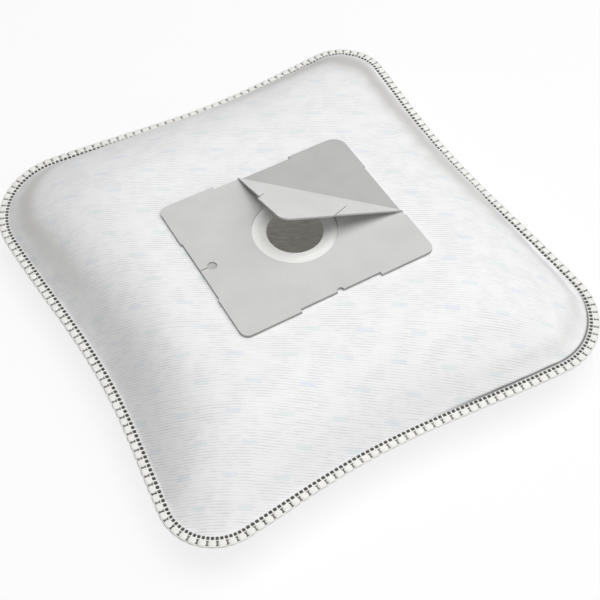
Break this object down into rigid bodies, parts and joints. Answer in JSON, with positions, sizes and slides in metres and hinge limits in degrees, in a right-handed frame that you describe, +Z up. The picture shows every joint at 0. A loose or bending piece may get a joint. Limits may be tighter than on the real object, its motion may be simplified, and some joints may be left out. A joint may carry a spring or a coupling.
{
  "type": "fleece vacuum cleaner dust bag with card collar",
  "caption": "Filled square fleece dust bag with a welded edge and a card collar whose corner flap folds over the round inlet.",
  "frame": {"origin": "on the floor, under the middle of the bag's outline", "axes": "+Z up out of the inlet, +Y along the bag's longer side, +X across it, away from the collar's hanging hole"},
  "size_m": [0.2898, 0.3044, 0.0869],
  "materials": {
    "fleece_upper": "white embossed non-woven fleece, matt, with a clear welded seam",
    "fleece_lower": "white embossed non-woven fleece, matt",
    "card_top": "light grey recycled board, matt",
    "card_base": "mid grey recycled board, matt",
    "seal": "off-white sealing sheet, satin"
  },
  "bodies": {
    "root": {"upper_fleece_panel": "fleece_upper", "lower_fleece_panel": "fleece_lower", "collar_base_card": "card_base", "collar_top_card": "card_top", "seal_ring": "seal"}
  },
  "joints": []
}
